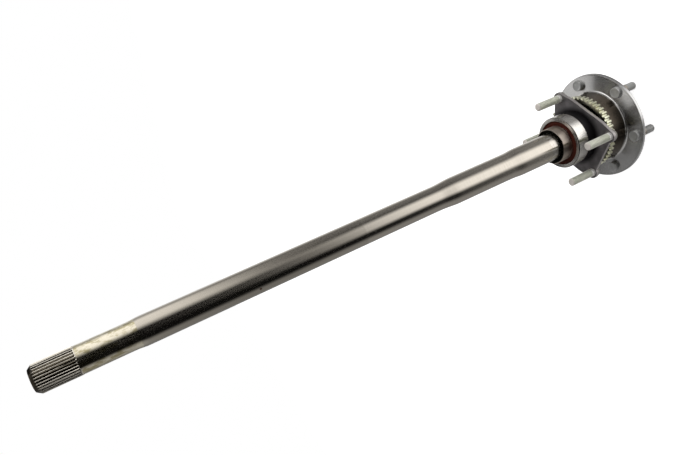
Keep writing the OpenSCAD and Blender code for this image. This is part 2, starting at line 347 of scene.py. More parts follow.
def apply_modifier(piece, kind, **settings):
    """Adds a modifier, sets it and applies it"""
    only(piece)
    modifier = piece.modifiers.new(kind.lower(), kind)
    for key, value in settings.items():
        setattr(modifier, key, value)
    bpy.ops.object.modifier_apply(modifier=modifier.name)


def soften(piece, width, segments=3, angle=40):
    """Rounds every sharp edge of a piece"""
    apply_modifier(piece, "BEVEL", width=width * MM, segments=segments, limit_method="ANGLE",
                   angle_limit=math.radians(angle), use_clamp_overlap=True)


def combine(piece, tool, operation):
    """Cuts, joins or trims a piece with a tool, which is used up"""
    apply_modifier(piece, "BOOLEAN", object=tool, operation=operation, solver="EXACT")
    bpy.data.objects.remove(tool)


def smooth(piece, angle=38):
    """Smooth faces between sharp edges, with the large faces kept flat"""
    only(piece)
    bpy.ops.object.shade_smooth_by_angle(angle=math.radians(angle))
    apply_modifier(piece, "WEIGHTED_NORMAL", mode="FACE_AREA", weight=100, keep_sharp=True)


def copy_at(piece, name, place, turn=0.0):
    """Copy of a piece, turned about its own Z axis and set at a place, with its own mesh"""
    only(piece)
    bpy.ops.object.duplicate()
    copy = bpy.context.object
    copy.name = name
    copy.data.name = name
    copy.data.transform(Matrix.Translation(Vector(place) * MM) @ Matrix.Rotation(turn, 4, "Z"))
    return copy


def set_down(piece, body, slot, *nodes):
    """Hands a piece to its body, its slot with its finish, and the nodes that it stands for"""
    piece.data.materials.clear()
    piece.data.materials.append(finishes[slot])
    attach(piece, body)
    if nodes:
        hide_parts(*nodes)


def threaded(name, radius, pitch, low, high):
    """Rod with a real thread between two heights on the Z axis"""
    root = radius - thread_depth
    ridge = [
        (root, 0),
        (root, thread_foot),
        (radius, thread_crest),
        (radius, 1 - thread_crest),
        (root, 1 - thread_foot),
        (root, 1),
    ]
    start = low - spare_turns / 2 * pitch
    rod = drawn(name, [(r, 0, start + share * pitch) for r, share in ridge])
    bpy.ops.object.mode_set(mode="OBJECT")
    turns = math.ceil((high - low) / pitch) + spare_turns
    apply_modifier(rod, "SCREW", axis="Z", angle=2 * math.pi, screw_offset=pitch * MM, iterations=turns,
                   steps=thread_steps, render_steps=thread_steps)
    bpy.ops.object.mode_set(mode="EDIT")
    bpy.ops.mesh.select_all(action="SELECT")
    bpy.ops.mesh.remove_doubles(threshold=merge_gap * MM)
    for height, side in ((low, "clear_inner"), (high, "clear_outer")):
        bpy.ops.mesh.select_all(action="SELECT")
        bpy.ops.mesh.bisect(plane_co=(0, 0, height * MM), plane_no=(0, 0, 1), use_fill=True,
                            threshold=cut_tolerance * MM, **{side: True})
    close_up()
    return rod


# Pieces on the axle
def tooth_radii(tip, root, limit=math.inf):
    """Radii of the twelve points of one spline tooth, from its crown down both flanks"""
    ease = flank_share * (tip - root)
    half = [tip, tip, tip - ease, (tip + root) / 2, root + ease, root, root]
    return tuple(min(r, limit) for r in half + half[-2:0:-1])


def make_shaft():
    """Flange, boss, stem, stepped shaft and spline, turned from one forging"""
    tone_seat = tone_high[2]
    boss_top = tone_low[2]
    bearing_start = ring_low[2]
    profile = rounded([
        (centre_tip_r, pilot_face + centre_r - centre_tip_r, 0),
        (centre_r, pilot_face, crisp_edge),
        (pilot_r - large_edge, pilot_face, pilot_edge),
        (pilot_r, pilot_face + large_edge, pilot_edge),
        (pilot_r, 0, 0),
        (flange_r - flange_chamfer, 0, soft_edge),
        (flange_r, flange_chamfer, soft_edge),
        (flange_r, flange_t, large_edge),
        *quarter(boss_r + boss_fillet, flange_t + boss_fillet, boss_fillet, 270),
        (boss_r, boss_top, soft_edge),
        (tone_bore_r, boss_top, 0),
        (tone_bore_r, tone_seat - soft_edge, soft_edge),
        *quarter(stem_r + boss_fillet, tone_seat - soft_edge + boss_fillet, boss_fillet, 270),
        (stem_r, bearing_start - shoulder_cone, soft_edge),
        (land_r - soft_edge, bearing_start, 0),
        (seat_r, bearing_start, 0),
        (seat_r, collar_high[2] + soft_edge, 0),
        (hub_r, collar_high[2] + large_edge, fine_edge),
        (hub_r, hub_end, knee),
        (mid_r, mid_start, knee),
        (mid_r, mid_end, knee),
        (main_r, main_start, knee),
        (main_r, main_end, knee / 2),
        (neck_r, neck_start, knee / 2),
        (neck_r, spline_start, 0),
    ])
    tip, root = spline_tip_r, spline_root_r
    filled = root + runout_fill * (neck_r - root)
    lead_start = shaft_end - spline_lead
    slope = spline_lead_depth / spline_lead
    profile += [
        (tooth_radii(tip, neck_r), spline_start + spline_rise),
        (tooth_radii(tip, filled), spline_start + runout_middle * spline_runout),
        (tooth_radii(tip, root), spline_start + spline_runout),
    ]
    for depth in lead_steps:
        profile.append((tooth_radii(tip, root, tip - depth * slope), lead_start + depth))
    face_r = tip - spline_lead_depth
    profile += rounded([
        (face_r + lead_plain * slope, shaft_end - lead_plain, 0),
        (face_r, shaft_end, soft_edge),
        (centre_r, shaft_end, crisp_edge),
        (centre_tip_r, shaft_end - centre_r + centre_tip_r, 0),
    ])
    shaft = turned("axle_shaft_turned", profile, segments=tooth_points * spline_teeth)
    hole_r = wheel_shank_r + fit_clearance
    for turn in wheel_turns:
        drill = turned("drill", [(hole_r, -overcut), (hole_r, flange_t + overcut)], segments=64)
        drill.data.transform(Matrix.Translation(stud_place(turn) * MM))
        combine(shaft, drill, "DIFFERENCE")
    smooth(shaft)
    return shaft


def stud_place(turn):
    """Centre of a wheel stud at an angle round the axle"""
    return Vector((wheel_circle_r * math.cos(turn), wheel_circle_r * math.sin(turn), 0))


def make_wheel_stud():
    """Wheel stud: dished head, shank in the flange and a threaded end"""
    tip, top = wheel_low[2], wheel_high[2]
    rod = threaded("wheel_stud", wheel_thread_r, wheel_pitch, tip - trim_margin, trim_margin)
    envelope = turned("envelope", rounded([
        (wheel_thread_r - stud_tip, tip, crisp_edge),
        (wheel_thread_r + trim_margin, tip + stud_tip + trim_margin, 0),
        (wheel_thread_r + trim_margin, flange_t, 0),
    ]), segments=48)
    combine(rod, envelope, "INTERSECT")
    head = turned("head", rounded([
        (wheel_thread_r - thread_depth, -shank_lead, 0),
        (wheel_thread_r - fine_edge, -shank_lead, 0),
        (wheel_shank_r, large_edge, fine_edge),
        (wheel_shank_r, flange_t, 0),
        (wheel_head_r, flange_t, seat_edge),
        (wheel_head_r, top, soft_edge),
        (wheel_head_r - head_rim, top, round_edge),
        (wheel_head_r - head_rim - dish_slope, top - head_dish, round_edge),
        (pole_r, top - head_dish, 0),
    ]), segments=72)
    combine(rod, head, "UNION")
    smooth(rod, angle=50)
    return rod


def make_tone_ring():
    """Toothed ring pressed on the boss"""
    outer = (tone_r,) * tone_flat_points + (tone_r - tone_tooth_h,) * tone_flat_points
    low, high = tone_low[2], tone_high[2]
    ring = turned("tone_ring_toothed", [
        (tone_bore_r + fit_clearance, low),
        (outer, low),
        (outer, high),
        (tone_bore_r + fit_clearance, high),
    ], segments=2 * tone_flat_points * tone_teeth, hollow=True)
    soften(ring, ground_edge, segments=2)
    smooth(ring)
    return ring


def make_collar():
    """Pressed collar with a conical mouth"""
    low, high = collar_low[2], collar_high[2]
    bore = seat_r + fit_clearance
    collar = turned("retaining_collar_turned", rounded([
        (bore, low, fine_edge),
        (collar_r, low, soft_edge),
        (collar_r, high, soft_edge),
        (bore + collar_cone, high, fine_edge),
        (bore, high - collar_cone, fine_edge),
    ]), segments=128, hollow=True)
    smooth(collar)
    return collar


# Pieces on the bearing housing
def make_bearing_ring():
    """Outer ring with its ball track and seal seats"""
    low, high = ring_low[2], ring_high[2]
    middle = (low + high) / 2
    mouth = math.acos((outer_land_r - ball_pitch_r) / track_r)
    track = [mouth - 2 * mouth * i / track_steps for i in range(track_steps + 1)]
    groove = [(ball_pitch_r + track_r * math.cos(a), middle + track_r * math.sin(a), 0) for a in track]
    ring = turned("bearing_outer_ring_ground", rounded([
        (seal_r, low, crisp_edge),
        (ring_r - large_edge, low, ground_edge),
        (ring_r, low + large_edge, ground_edge),
        (ring_r, high - large_edge, ground_edge),
        (ring_r - large_edge, high, ground_edge),
        (seal_r, high, crisp_edge),
        (seal_r, high - seal_seat_depth, 0),
        (outer_land_r, high - seal_seat_depth, 0),
        *groove,
        (outer_land_r, low + seal_seat_depth, 0),
        (seal_r, low + seal_seat_depth, 0),
    ]), segments=144, hollow=True)
    smooth(ring)
    return ring


def make_seal(name, inner_face, way):
    """Moulded rubber seal whose ribs and lips face outwards along Z, up or down"""
    stations = [
        (lip_r + lip_root, 0, 0),
        (lip_r + lip_root, insert_t, 0),
        (seal_r - insert_rim, insert_t, 0),
        (seal_r - insert_rim, 0, 0),
        (seal_r, 0, 0),
        (seal_r, seal_t, eased_edge),
        (seal_r - bead_w, seal_t, crisp_edge),
        (seal_r - bead_w - bead_slope, seal_t - web_drop, crisp_edge),
        (lip_r + rib_foot, seal_t - web_drop, crisp_edge),
        (lip_r + rib_outer, seal_t, crisp_edge),
        (lip_r + rib_inner, seal_t, crisp_edge),
        (lip_r + lip_root, seal_t - groove_drop, crisp_edge),
        (lip_r + lip_w, seal_t, fine_edge),
        (lip_r, seal_t, fine_edge),
        (lip_r, seal_t - lip_t, 0),
    ]
    profile = [(radius, inner_face + way * height) for radius, height in rounded(stations)]
    seal = turned(name, profile, segments=128, hollow=True)
    smooth(seal)
    return seal


def ear_arc(x, y, start, end, steps=16):
    """Points round an ear of the plate, from one angle to another"""
    angles = [start + (end - start) * i / steps for i in range(steps + 1)]
    return [(x + ear_r * math.cos(a), y + ear_r * math.sin(a), plate_back) for a in angles]


def make_plate():
    """Retainer plate with four ears, countersunk holes and a spigot that meets the bearing"""
    front = plate_back + plate_t
    right = math.radians(90)
    edge_turn = math.acos((plate_reach - clamp_x) / ear_r)
    outline = [
        (plate_flat, -plate_half_w, plate_back),
        *ear_arc(clamp_x, -clamp_y, -right, ear_flank),
        (waist_reach, -waist_flat, plate_back),
        (waist_reach, waist_flat, plate_back),
        *ear_arc(clamp_x, clamp_y, -ear_flank, right),
        (plate_flat, plate_half_w, plate_back),
        (-plate_flat, plate_half_w, plate_back),
        *ear_arc(-clamp_x, clamp_y, right, math.pi + edge_turn),
        *ear_arc(-clamp_x, -clamp_y, math.pi - edge_turn, math.pi + right),
        (-plate_flat, -plate_half_w, plate_back),
    ]
    plate = drawn("retainer_plate_pressed", outline, loop=True)
    bpy.ops.mesh.extrude_region_move(TRANSFORM_OT_translate={"value": (0, 0, plate_t * MM)})
    close_up()
    soften(plate, pressed_edge)
    combine(plate, turned("spigot", rounded([
        (spigot_r, plate_back + overcut, 0),
        (spigot_r, spigot_end, soft_edge),
        (pole_r, spigot_end, 0),
    ]), segments=128), "UNION")
    combine(plate, turned("bore", [
        (spigot_bore_r, plate_back - overcut),
        (spigot_bore_r, spigot_end + overcut),
    ], segments=128), "DIFFERENCE")
    hole_r = clamp_shank_r + fit_clearance
    for x, y in plate_corners:
        sink = turned("countersink", [
            (hole_r, plate_back - overcut),
            (hole_r, front - countersink_depth),
            (hole_r + countersink_r, front),
            (hole_r + countersink_r, front + overcut),
        ], segments=64)
        sink.data.transform(Matrix.Translation(Vector((x, y, 0)) * MM))
        combine(plate, sink, "DIFFERENCE")
    smooth(plate)
    return plate


def make_clamp_stud():
    """Retainer stud: flat head behind the plate, plain neck and a threaded end"""
    front = plate_back + plate_t
    low, top = clamp_low[2], clamp_high[2]
    neck_top = front + clamp_plain
    rod = threaded("retainer_stud", clamp_thread_r, clamp_pitch, neck_top - thread_overlap,
                   top + trim_margin)
    envelope = turned("envelope", rounded([
        (clamp_thread_r + trim_margin, front, 0),
        (clamp_thread_r + trim_margin, top - stud_tip - trim_margin, 0),
        (clamp_thread_r - stud_tip, top, round_edge),
        (pole_r, top, 0),
    ]), segments=48)
    combine(rod, envelope, "INTERSECT")
    neck = turned("neck", rounded([
        (clamp_head_r, low, eased_edge),
        (clamp_head_r, plate_back, fine_edge),
        (clamp_shank_r, plate_back, 0),
        (clamp_shank_r, front - countersink_depth, crisp_edge),
        (clamp_thread_r, front, eased_edge),
        (clamp_thread_r, neck_top - clamp_taper, pressed_edge),
        (clamp_thread_r - thread_depth, neck_top + fine_edge, 0),
    ]), segments=64)
    combine(rod, neck, "UNION")
    smooth(rod, angle=50)
    return rod


# Finishes
class Finish:
    """A procedural metal, rubber, coating or cloth, built up node by node"""

    def __init__(self, name):
        self.material = bpy.data.materials.new(name)
        self.material.use_nodes = True
        self.nodes = self.material.node_tree.nodes
        self.links = self.material.node_tree.links
        self.shader = self.nodes["Principled BSDF"]
        self.place = self.nodes.new("ShaderNodeTexCoord").outputs["Object"]

    def put(self, socket, value):
        """Sets a socket, or links it where the value comes from a node"""
        if isinstance(value, bpy.types.NodeSocket):
            self.links.new(value, socket)
        else:
            socket.default_value = value

    def math(self, operation, *values):
        """Outcome of one operation on numbers"""
        node = self.nodes.new("ShaderNodeMath")
        node.operation = operation
        for socket, value in zip(node.inputs, values):
            self.put(socket, value)
        return node.outputs[0]

    def plus(self, first, *others):
        """Sum of values"""
        for other in others:
            first = self.math("ADD", first, other)
        return first

    def times(self, first, *others):
        """Product of values"""
        for other in others:
            first = self.math("MULTIPLY", first, other)
        return first

    def minus(self, first, second):
        """Difference of two values"""
        return self.math("SUBTRACT", first, second)

    def vector(self, operation, *values):
        """Outcome of one operation on vectors"""
        node = self.nodes.new("ShaderNodeVectorMath")
        node.operation = operation
        for socket, value in zip(node.inputs, values):
            self.put(socket, value)
        return node.outputs["Vector"]

    def split(self, vector):
        """X, Y and Z of a vector"""
        node = self.nodes.new("ShaderNodeSeparateXYZ")
        self.put(node.inputs[0], vector)
        return node.outputs["X"], node.outputs["Y"], node.outputs["Z"]

    def distance(self, across, along):
        """Distance that two offsets at right angles make"""
        squares = self.plus(self.math("POWER", across, 2.0), self.math("POWER", along, 2.0))
        return self.math("SQRT", squares)

    def axes(self):
        """Height above the wheel face and distance from the axle's axis, both in metres"""
        across, along, height = self.split(self.place)
        return height, self.distance(across, along)

    def noise(self, scale, detail=3.0, stretch=(1, 1, 1), roughness=0.55):
        """Cloudy variation of a scale, which may differ along each axis"""
        mapping = self.nodes.new("ShaderNodeMapping")
        self.put(mapping.inputs["Vector"], self.place)
        mapping.inputs["Scale"].default_value = stretch
        node = self.nodes.new("ShaderNodeTexNoise")
        self.put(node.inputs["Vector"], mapping.outputs[0])
        node.inputs["Scale"].default_value = scale
        node.inputs["Detail"].default_value = detail
        node.inputs["Roughness"].default_value = roughness
        return node.outputs["Fac"]

    def rings(self, scale, detail=4.0):
        """Fine marks that run round the axle's axis, on its faces as on its cylinders"""
        height, radius = self.axes()
        section = self.nodes.new("ShaderNodeCombineXYZ")
        self.put(section.inputs["X"], radius)
        self.put(section.inputs["Y"], height)
        node = self.nodes.new("ShaderNodeTexNoise")
        self.put(node.inputs["Vector"], section.outputs[0])
        node.inputs["Scale"].default_value = scale
        node.inputs["Detail"].default_value = detail
        return node.outputs["Fac"]

    def span(self, value, low, high, to_low=0.0, to_high=1.0):
        """Smooth change of a value between two limits"""
        node = self.nodes.new("ShaderNodeMapRange")
        node.interpolation_type = "SMOOTHSTEP"
        self.put(node.inputs["Value"], value)
        limits = {"From Min": low, "From Max": high, "To Min": to_low, "To Max": to_high}
        for key, number in limits.items():
            node.inputs[key].default_value = number
        return node.outputs["Result"]

    def zone(self, place, low, high, to_low=0.0, to_high=1.0):
        """Smooth change between two places given in millimetres"""
        return self.span(place, low * MM, high * MM, to_low, to_high)

    def above(self, place, limit, blur):
        """One above a limit in millimetres, nothing below it"""
        return self.zone(place, limit - blur, limit + blur)

    def below(self, place, limit, blur):
        """One below a limit in millimetres, nothing above it"""
        return self.zone(place, limit - blur, limit + blur, 1.0, 0.0)

    def between(self, place, low, high, blur):
        """One between two limits in millimetres, nothing outside them"""
        return self.times(self.above(place, low, blur), self.below(place, high, blur))

    def near(self, spot, inner, outer):
        """One round a spot given in millimetres, fading to nothing"""
        node = self.nodes.new("ShaderNodeVectorMath")
        node.operation = "DISTANCE"
        self.put(node.inputs[0], self.place)
        node.inputs[1].default_value = Vector(spot) * MM
        return self.zone(node.outputs["Value"], inner, outer, 1.0, 0.0)

    def mix(self, share, first, second):
        """Blend of two colours"""
        node = self.nodes.new("ShaderNodeMix")
        node.data_type = "RGBA"
        self.put(node.inputs["Factor"], share)
        for key, value in (("A", first), ("B", second)):
            socket = [s for s in node.inputs if s.name == key and s.type == "RGBA"][0]
            self.put(socket, value if isinstance(value, bpy.types.NodeSocket) else (*value, 1.0))
        return [s for s in node.outputs if s.type == "RGBA"][0]

    def leaning(self, share):
        """Normal that leans away from the axle's axis by a share, as the marks of a facing cut do"""
        outward = self.vector("NORMALIZE", self.vector("MULTIPLY", self.place, (1, 1, 0)))
        turn = self.nodes.new("ShaderNodeVectorTransform")
        turn.vector_type = "VECTOR"
        turn.convert_from, turn.convert_to = "OBJECT", "WORLD"
        self.put(turn.inputs[0], outward)
        across = self.nodes.new("ShaderNodeCombineXYZ")
        for axis in "XYZ":
            self.put(across.inputs[axis], share)
        lean = self.vector("MULTIPLY", turn.outputs[0], across.outputs[0])
        normal = self.nodes.new("ShaderNodeNewGeometry").outputs["Normal"]
        return self.vector("NORMALIZE", self.vector("ADD", normal, lean))

    def bump(self, height, depth, strength, normal=None):
        """Fine relief of a depth in millimetres"""
        node = self.nodes.new("ShaderNodeBump")
        if normal:
            self.put(node.inputs["Normal"], normal)
        self.put(node.inputs["Height"], height)
        node.inputs["Distance"].default_value = depth * MM
        node.inputs["Strength"].default_value = strength
        self.put(self.shader.inputs["Normal"], node.outputs[0])

    def turned_grain(self):
        """Gloss drawn out across the lathe marks that run round the axle"""
        tangent = self.nodes.new("ShaderNodeTangent")
        tangent.direction_type = "RADIAL"
        tangent.axis = "Z"
        self.put(self.shader.inputs["Tangent"], tangent.outputs[0])
        self.shader.inputs["Anisotropic"].default_value = 1.0
        self.shader.inputs["Anisotropic Rotation"].default_value = quarter_turn

    def finish(self, colour, roughness, metallic=1.0):
        """Hands the colour, the roughness and the share of metal to the shader"""
        self.put(self.shader.inputs["Base Color"], colour)
        self.put(self.shader.inputs["Roughness"], roughness)
        self.put(self.shader.inputs["Metallic"], metallic)
        return self.material


def bar_colour(f, height, rings, dull):
    """Bar of the shaft: bright at the hub end, satin beyond a step, with a rust spot"""
    streaks = f.noise(1.0, stretch=(60, 60, 9))
    bright = f.mix(rings, (0.51, 0.465, 0.40), (0.65, 0.60, 0.525))
    satin = f.mix(streaks, (0.38, 0.345, 0.295), (0.50, 0.46, 0.395))
    step = f.above(height, polish_end, 0.5)
    dulled = f.plus(f.times(step, 0.5), f.times(dull, 0.5))
    rust = f.near(rust_spot, rust_r, rust_fade_r)
    return f.mix(rust, f.mix(dulled, bright, satin), (0.10, 0.045, 0.02))


def worn_colour(f, height, colour):
    """Ground journal next to the collar and stained neck before the spline, over the bar's colour"""
    stain = f.noise(150, detail=6, stretch=(1, 1, 0.45), roughness=0.7)
    ground = f.mix(f.span(stain, 0.50, 0.62, 0.0, 0.7), (0.66, 0.62, 0.565), (0.24, 0.185, 0.14))
    journal = f.between(height, journal_start, journal_end, 0.4)
    stained = f.mix(f.span(stain, 0.40, 0.58), (0.34, 0.30, 0.18), (0.63, 0.58, 0.47))
    neck = f.between(height, stain_start, spline_start, 1.0)
    return f.mix(neck, f.mix(journal, colour, ground), stained)


def spline_colour(f, height, radius):
    """Spline with bright crowns, flanks and roots darkened as painted shade, and a plain end face"""
    crown = f.above(radius, tooth_flank_r, tooth_flank_fade)
    # Painted shade: the flanks and roots between the teeth are coloured near black
    teeth = f.mix(crown, (0.06, 0.05, 0.035), (0.88, 0.82, 0.71))
    return f.mix(f.above(height, shaft_end - crisp_edge, 0.2), teeth, (0.58, 0.53, 0.46))


def boss_colour(f, height, patches):
    """Forged skin of the boss, with painted shade, near black, from the tone ring on"""
    skin = f.mix(patches, (0.12, 0.098, 0.075), (0.18, 0.15, 0.117))
    # Painted shade: the boss is coloured near black where it runs under the tone ring towards the plate
    return f.mix(f.above(height, boss_shade_start, 0.3), skin, (0.035, 0.033, 0.026))


def turned_steel():
    """Steel of the one-piece shaft, from the faced flange to the teeth of the spline"""
    f = Finish("turned_steel")
    height, radius = f.axes()
    rings = f.rings(shaft_marks)
    patches = f.noise(38, detail=5)
    wander = f.times(f.minus(patches, 0.5), polish_wander * MM)
    dull = f.zone(f.plus(height, wander), dull_start, dull_end)
    toothed = f.zone(height, spline_start, spline_start + 1)
    hub = f.below(height, hub_finish_end, 1.0)
    # Painted highlight: mask of the boss fillet, which is coloured brighter to stand in for its glint
    fillet = f.times(f.between(height, fillet_low, fillet_high, 0.2), f.below(radius, fillet_r, 0.2))
    boss = f.times(f.above(height, boss_skin_start, 0.3), f.below(height, boss_skin_end, 1.0))
    face = f.minus(f.times(hub, f.below(radius, flange_face_r, 0.4)), fillet)
    colour = worn_colour(f, height, bar_colour(f, height, rings, dull))
    colour = f.mix(toothed, colour, spline_colour(f, height, radius))
    colour = f.mix(hub, colour, f.mix(rings, (0.51, 0.502, 0.494), (0.60, 0.592, 0.58)))
    # Painted highlight on the fillet
    colour = f.mix(fillet, colour, (0.85, 0.83, 0.80))
    colour = f.mix(boss, colour, boss_colour(f, height, patches))
    roughness = f.plus(f.times(dull, 0.02), 0.13, f.times(rings, 0.05), f.times(face, 0.06),
                       f.times(toothed, 0.06))
    f.turned_grain()
    marks = f.times(rings, f.below(height, spline_start - 2, 2.0))
    f.bump(marks, mark_depth, 0.3, f.leaning(f.times(face, facing_lean)))
    return f.finish(colour, roughness)


def cloudy_colour(f, clouds, dark, light):
    """Colour that changes softly between a dark and a light one"""
    return f.mix(f.span(clouds, 0.3, 0.7), dark, light)


def plain_metal(name, dark, light, roughness, scale=60):
    """Metal with a fine cloudy variation of colour and gloss"""
    f = Finish(name)
    colour = cloudy_colour(f, f.noise(scale, detail=5), dark, light)
    fine = f.noise(scale * 14)
    f.bump(fine, mark_depth, 0.4)
    return f.finish(colour, f.plus(roughness - 0.05, f.times(fine, 0.1)))


def ringed_metal(name, dark, light, roughness, shaded_mouth_r=0.0, chamfer_r=0.0):
    """Metal turned round the axle's axis, with painted shade in its mouth or a darkened chamfer, partly
    unground and partly a painted dark reflection, where its radius is given
    """
    f = Finish(name)
    radius = f.axes()[1]
    rings = f.rings(ground_marks)
    colour = f.mix(rings, dark, light)
    if shaded_mouth_r:
        # Painted shade: the conical mouth is coloured near black
        colour = f.mix(f.zone(radius, shaded_mouth_r - 0.3, shaded_mouth_r, 1.0, 0.0), colour, (0.008, 0.007, 0.005))
    if chamfer_r:
        # Dark chamfer: partly unground steel, partly a painted dark reflection
        chamfer = f.between(radius, chamfer_r - large_edge + 0.1, chamfer_r - seat_edge, 0.1)
        colour = f.mix(chamfer, colour, (0.10, 0.09, 0.08))
    f.turned_grain()
    f.bump(rings, ground_depth, 0.4)
    return f.finish(colour, f.plus(roughness - 0.04, f.times(rings, 0.08)))


def wheel_stud_steel():
    """Satin steel of the wheel studs, browned where a stud leaves the flange"""
    f = Finish("wheel_stud_steel")
    height = f.axes()[0]
    clouds = f.noise(60, detail=5)
    fine = f.noise(840)
    steel = cloudy_colour(f, clouds, (0.50, 0.50, 0.49), (0.64, 0.64, 0.625))
    brown = f.times(f.zone(height, brown_start, brown_full), f.zone(height, -0.5, 0.0, 1.0, 0.0))
    colour = f.mix(brown, steel, (0.60, 0.50, 0.42))
    f.bump(fine, mark_depth, 0.4)
    return f.finish(colour, f.plus(0.36, f.times(fine, 0.1)), 0.8)


def dark_phosphate():
    """Dark phosphate coat, with painted shade round the spigot and in the countersinks, bare on the sheared
    edges
    """
    f = Finish("dark_phosphate")
    radius = f.axes()[1]
    clouds = f.noise(70, detail=6)
    grain = f.noise(900)
    coat = cloudy_colour(f, clouds, (0.148, 0.137, 0.139), (0.23, 0.214, 0.219))
    # Painted shade: the coat turns near black round the spigot, where the bearing shades the plate
    coat = f.mix(f.zone(radius, spigot_r - 0.2, plate_shade_r), (0.018, 0.016, 0.017), coat)
    x, y = f.split(f.place)[:2]
    across = f.minus(f.math("ABSOLUTE", x), clamp_x * MM)
    along = f.minus(f.math("ABSOLUTE", y), clamp_y * MM)
    # Painted shade: the countersinks round the studs are coloured near black
    countersink_shade = f.below(f.distance(across, along), clamp_shank_r + countersink_r + 0.1, 0.2)
    coat = f.mix(countersink_shade, coat, (0.012, 0.011, 0.010))
    normal = f.nodes.new("ShaderNodeNewGeometry").outputs["Normal"]
    upright = f.span(f.math("ABSOLUTE", f.split(normal)[2]), 0.55, 0.85, 1.0, 0.0)
    sheared = f.times(upright, f.above(radius, bare_edge_r, 1.0))
    colour = f.mix(sheared, coat, f.mix(clouds, (0.38, 0.355, 0.345), (0.52, 0.485, 0.475)))
    f.bump(grain, coat_depth, 0.5)
    return f.finish(colour, f.plus(0.38, f.times(clouds, 0.2)), 0.75)


def clear_zinc():
    """Clear zinc of the retainer studs: dull thread, a neck lightened as a painted highlight, a bright tip,
    and painted shade on the head behind the plate
    """
    f = Finish("clear_zinc")
    height = f.axes()[0]
    clouds = f.noise(60, detail=5)
    fine = f.noise(840)
    neck = f.below(height, plate_back + plate_t + clamp_plain - 0.5, 0.3)
    tip = f.above(height, clamp_high[2] - stud_tip, 0.5)
    head = f.below(height, plate_back, 0.2)
    colour = cloudy_colour(f, clouds, (0.74, 0.75, 0.655), (0.88, 0.88, 0.795))
    # Painted highlight: the plain neck is coloured near white
    colour = f.mix(neck, colour, (0.95, 0.93, 0.89))
    colour = f.mix(tip, colour, (0.74, 0.69, 0.64))
    # Painted shade: the head behind the plate is coloured dark
    colour = f.mix(head, colour, (0.26, 0.25, 0.22))
    metal = f.span(f.plus(neck, tip), 0.0, 1.0, 0.7, 0.35)
    f.bump(fine, mark_depth, 0.4)
    return f.finish(colour, f.plus(0.45, f.times(fine, 0.1)), metal)


def red_rubber():
    """Dark red moulded rubber with a thin film of grease"""
    f = Finish("red_rubber")
    clouds = f.noise(90, detail=5)
    colour = f.mix(clouds, (0.018, 0.0035, 0.002), (0.075, 0.017, 0.010))
    f.bump(f.noise(1500, detail=2), mark_depth, 0.4)
    f.shader.inputs["Specular IOR Level"].default_value = 0.06
    return f.finish(colour, f.plus(0.35, f.times(clouds, 0.2)), 0.0)


finishes = {
    "turned_steel": turned_steel(),
    "wheel_stud_steel": wheel_stud_steel(),
    "yellow_zinc": plain_metal("yellow_zinc", (0.66, 0.645, 0.455), (0.83, 0.825, 0.67), 0.32, scale=45),
    "dark_phosphate": dark_phosphate(),
    "clear_zinc": clear_zinc(),
    "bearing_steel": ringed_metal("bearing_steel", (0.72, 0.69, 0.645), (0.84, 0.81, 0.76), 0.2,
                                  chamfer_r=ring_r),
    "cage_steel": plain_metal("cage_steel", (0.40, 0.38, 0.34), (0.50, 0.48, 0.43), 0.38),
    "red_rubber": red_rubber(),
    # the collar's conical mouth is painted in shade
    "collar_steel": ringed_metal("collar_steel", (0.46, 0.395, 0.34), (0.57, 0.495, 0.43), 0.30,
                                 shaded_mouth_r=seat_r + collar_cone + 0.25),
}

# Assembly
set_down(make_shaft(), "axle", "turned_steel", "axle_shaft")
set_down(make_tone_ring(), "axle", "yellow_zinc", "tone_ring")
set_down(make_collar(), "axle", "collar_steel", "retaining_collar")
set_down(make_bearing_ring(), "bearing_housing", "bearing_steel", "bearing_outer_ring")
inboard_seal = make_seal("seal_inboard_moulded", seal_low[2], 1)
set_down(inboard_seal, "bearing_housing", "red_rubber", "seal_inboard")
outboard_seal = make_seal("seal_outboard_moulded", outer_seal_high[2], -1)
set_down(outboard_seal, "bearing_housing", "red_rubber", "seal_outboard")
set_down(make_plate(), "bearing_housing", "dark_phosphate", "retainer_plate")

wheel_stud = make_wheel_stud()
for i, turn in enumerate(wheel_turns):
    stud = copy_at(wheel_stud, f"wheel_stud_{i + 1}", stud_place(turn), turn)
    set_down(stud, "axle", "wheel_stud_steel", *(["wheel_studs"] if i == 0 else []))
bpy.data.objects.remove(wheel_stud)

clamp_stud = make_clamp_stud()
for i, (x, y) in enumerate(plate_corners):
    stud = copy_at(clamp_stud, f"retainer_stud_{i + 1}", (x, y, 0), turn=i)
    set_down(stud, "bearing_housing", "clear_zinc", *(["retainer_studs"] if i == 0 else []))
bpy.data.objects.remove(clamp_stud)

inner_finishes = {
    "bearing_inner_ring": "bearing_steel",
    "bearing_balls": "bearing_steel",
    "cage_half_inboard": "cage_steel",
    "cage_half_outboard": "cage_steel",
    "cage_rivets": "cage_steel",
    "seal_insert_inboard": "cage_steel",
    "seal_insert_outboard": "cage_steel",
}
for name, slot in inner_finishes.items():
    node = frame["nodes"][name]
    node.data.materials.clear()
    node.data.materials.append(finishes[slot])

# Floor, tent, light and camera
camera_place = Vector((-421.87, -614.80, 781.83)) * MM
camera_aim = Vector((13.14, -9.44, 477.20)) * MM
camera_roll = math.radians(-113.85)
camera_lens = 32.80
camera_azimuth = math.atan2(camera_place.y, camera_place.x)
lamp_place = Vector((600, -1400, 1600)) * MM
lamp_aim = Vector((0, 0, 200)) * MM
lamp_size = 1000 * MM
lamp_power = 20
floor_size = 6000 * MM
floor_lift = 0.72
soft_level = 0.5
tent_r, tent_low, tent_high = 900.0, -1600.0, 2200.0

# Light levels of the tent, where one is white, and the fall of its slanting edges in millimetres a degree
dark_level = 0.008
right_cloth_level = 0.31
left_cloth_level = 0.22
near_table_level = 0.2
table_level = 1.42
left_box_level = 1.55
back_box_level = 0.68
top_box_level = 0.78
right_strip_level = 0.22
right_floor_level = 0.9
overhead_level = 0.45
table_fall, back_fall, top_fall = -1.5, 7.9, 36.0


